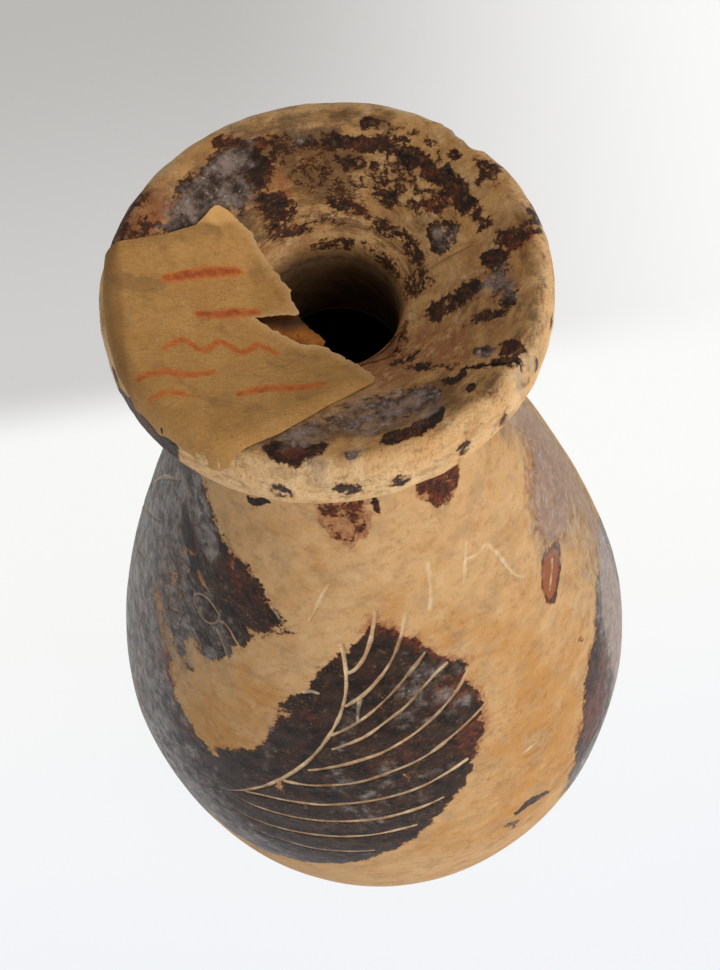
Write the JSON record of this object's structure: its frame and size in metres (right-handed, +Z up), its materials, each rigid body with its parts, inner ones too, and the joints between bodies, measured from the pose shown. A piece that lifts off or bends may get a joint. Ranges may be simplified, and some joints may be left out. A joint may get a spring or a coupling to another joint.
{
  "type": "aryballos",
  "caption": "Small pear-shaped oil flask of painted clay with a dished mouth disc, a strap handle for a cord and a torn paper label over its mouth.",
  "frame": {"origin": "centre of the flat foot ring that the flask stands on", "axes": "+Z up the flask's axis, -Y the pictured front, +Y the side with the strap handle"},
  "size_m": [0.05, 0.05, 0.0983],
  "materials": {
    "painted_clay": "matt buff clay with worn black slip figures and incised lines",
    "bare_clay": "matt buff clay",
    "painted_disc_clay": "matt buff clay with worn rings and tongues of black and brown slip",
    "slip_clay": "smoothed slip clay",
    "label_paper": "fibrous tan paper with wax crayon strokes",
    "glue_soaked_paper": "brown, half shiny",
    "dried_glue": "amber, glassy"
  },
  "bodies": {
    "root": {"body": "painted_clay", "neck": "bare_clay", "mouth_disc": "painted_disc_clay", "handle": "painted_clay", "neck_luting": "slip_clay", "disc_luting": "slip_clay", "handle_top_luting": "slip_clay", "handle_foot_luting": "slip_clay", "paper_label": "label_paper", "label_under_layer": "glue_soaked_paper", "glue_bead": "dried_glue"}
  },
  "joints": []
}
